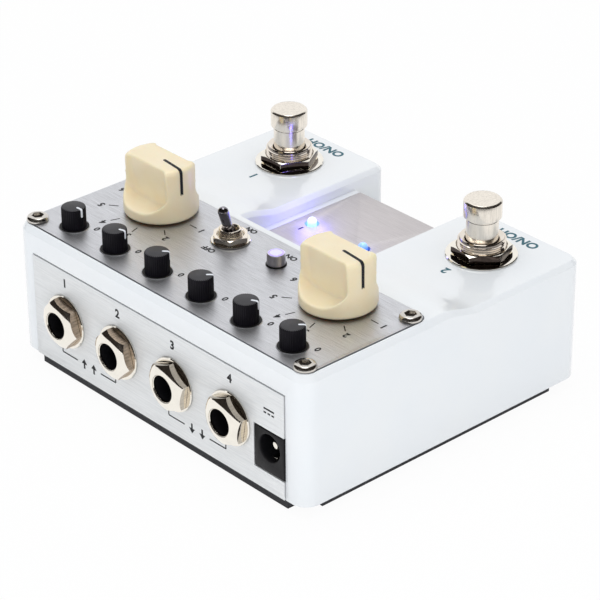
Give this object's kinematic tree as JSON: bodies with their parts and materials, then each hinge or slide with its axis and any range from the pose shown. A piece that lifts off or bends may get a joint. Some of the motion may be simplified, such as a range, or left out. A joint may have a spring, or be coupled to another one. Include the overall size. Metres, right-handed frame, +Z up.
{
  "type": "delay pedal",
  "caption": "Compact stereo delay pedal: white cast shell, brushed control deck with turning knobs, toggle, button and lamps, footswitches on stepped pods, jacks at the rear.",
  "frame": {"origin": "centre of the mat's underside, below the shell's middle", "axes": "+Z up, +Y to the rear with the jacks, -Y to the player and the footswitches, +X to the player's right"},
  "size_m": [0.102, 0.0916, 0.0507],
  "materials": {
    "pearl_paint": "smooth pearl-white paint on a cast shell",
    "brushed_deck": "brushed along X",
    "brushed_rear": "brushed along X",
    "brushed_centre": "brushed along Y",
    "nickel": "warm polished nickel",
    "dark_nickel": "dark polished nickel",
    "screw_steel": "polished button heads",
    "black_plastic": "satin black, ribbed",
    "inlet_plastic": "satin black",
    "cream_plastic": "warm translucent cream",
    "silver_cap": "silver with a lit ring",
    "lamp_lens": "clear lens",
    "rubber": "matte rubber",
    "base_steel": "dark painted sheet",
    "can_steel": "plain stamped steel",
    "board": "circuit board"
  },
  "bodies": {
    "pedal": {"housing": "pearl_paint", "base_plate": "base_steel", "rubber_mat": "rubber", "control_plate": "brushed_deck", "jack_plate": "brushed_rear", "centre_plate": "brushed_centre", "circuit_board": "board", "panel_screw_1": "screw_steel", "panel_screw_2": "screw_steel", "panel_screw_3": "screw_steel", "panel_screw_4": "screw_steel", "base_screw_1": "can_steel", "base_screw_2": "can_steel", "base_screw_3": "can_steel", "base_screw_4": "can_steel", "potentiometer_1": "can_steel", "potentiometer_2": "can_steel", "potentiometer_3": "can_steel", "potentiometer_4": "can_steel", "potentiometer_5": "can_steel", "potentiometer_6": "can_steel", "selector_switch_1": "can_steel", "selector_switch_2": "can_steel", "toggle_body": "nickel", "toggle_washer": "nickel", "toggle_nut": "nickel", "button_switch": "inlet_plastic", "footswitch_body_1": "nickel", "footswitch_body_2": "nickel", "footswitch_washer_1": "nickel", "footswitch_washer_2": "nickel", "footswitch_nut_1": "nickel", "footswitch_nut_2": "nickel", "jack_body_1": "nickel", "jack_body_2": "nickel", "jack_body_3": "nickel", "jack_body_4": "nickel", "jack_washer_1": "nickel", "jack_washer_2": "nickel", "jack_washer_3": "nickel", "jack_washer_4": "nickel", "jack_nut_1": "nickel", "jack_nut_2": "nickel", "jack_nut_3": "nickel", "jack_nut_4": "nickel", "power_inlet": "inlet_plastic", "led_1": "lamp_lens", "led_2": "lamp_lens"},
    "trim_1": {"trim_knob_1": "black_plastic"},
    "trim_2": {"trim_knob_2": "black_plastic"},
    "trim_3": {"trim_knob_3": "black_plastic"},
    "trim_4": {"trim_knob_4": "black_plastic"},
    "trim_5": {"trim_knob_5": "black_plastic"},
    "trim_6": {"trim_knob_6": "black_plastic"},
    "selector_1": {"selector_knob_1": "cream_plastic"},
    "selector_2": {"selector_knob_2": "cream_plastic"},
    "toggle": {"toggle_lever": "dark_nickel"},
    "button": {"push_button": "silver_cap"},
    "stomp_1": {"footswitch_plunger_1": "nickel"},
    "stomp_2": {"footswitch_plunger_2": "nickel"}
  },
  "joints": [
    {"name": "trim_turn_1", "type": "hinge", "parent": "pedal", "child": "trim_1", "pos_m": [0.0385, 0.036, 0.0366], "axis": [0, 0, 1], "range_deg": [-243, 57]},
    {"name": "trim_turn_2", "type": "hinge", "parent": "pedal", "child": "trim_2", "pos_m": [0.0231, 0.036, 0.0366], "axis": [0, 0, 1], "range_deg": [-258, 42]},
    {"name": "trim_turn_3", "type": "hinge", "parent": "pedal", "child": "trim_3", "pos_m": [0.0077, 0.036, 0.0366], "axis": [0, 0, 1], "range_deg": [-283, 17]},
    {"name": "trim_turn_4", "type": "hinge", "parent": "pedal", "child": "trim_4", "pos_m": [-0.0077, 0.036, 0.0366], "axis": [0, 0, 1], "range_deg": [-288, 12]},
    {"name": "trim_turn_5", "type": "hinge", "parent": "pedal", "child": "trim_5", "pos_m": [-0.0231, 0.036, 0.0366], "axis": [0, 0, 1], "range_deg": [-268, 32]},
    {"name": "trim_turn_6", "type": "hinge", "parent": "pedal", "child": "trim_6", "pos_m": [-0.0385, 0.036, 0.0366], "axis": [0, 0, 1], "range_deg": [-286, 14]},
    {"name": "selector_turn_1", "type": "hinge", "parent": "pedal", "child": "selector_1", "pos_m": [0.031, 0.0155, 0.0366], "axis": [0, 0, 1], "range_deg": [-180, 0]},
    {"name": "selector_turn_2", "type": "hinge", "parent": "pedal", "child": "selector_2", "pos_m": [-0.031, 0.0155, 0.0366], "axis": [0, 0, 1], "range_deg": [-180, 0]},
    {"name": "toggle_tilt", "type": "hinge", "parent": "pedal", "child": "toggle", "pos_m": [0.008, 0.0136, 0.0376], "axis": [1, 0, 0], "range_deg": [0, 32]},
    {"name": "button_press", "type": "slide", "parent": "pedal", "child": "button", "axis": [0, 0, -1], "range_m": [0, 0.0006], "stiffness_N_per_m": 1500, "springref_m": -0.001},
    {"name": "stomp_press_1", "type": "slide", "parent": "pedal", "child": "stomp_1", "axis": [0, 0, -1], "range_m": [0, 0.003], "stiffness_N_per_m": 4000, "springref_m": -0.003},
    {"name": "stomp_press_2", "type": "slide", "parent": "pedal", "child": "stomp_2", "axis": [0, 0, -1], "range_m": [0, 0.003], "stiffness_N_per_m": 4000, "springref_m": -0.003}
  ]
}
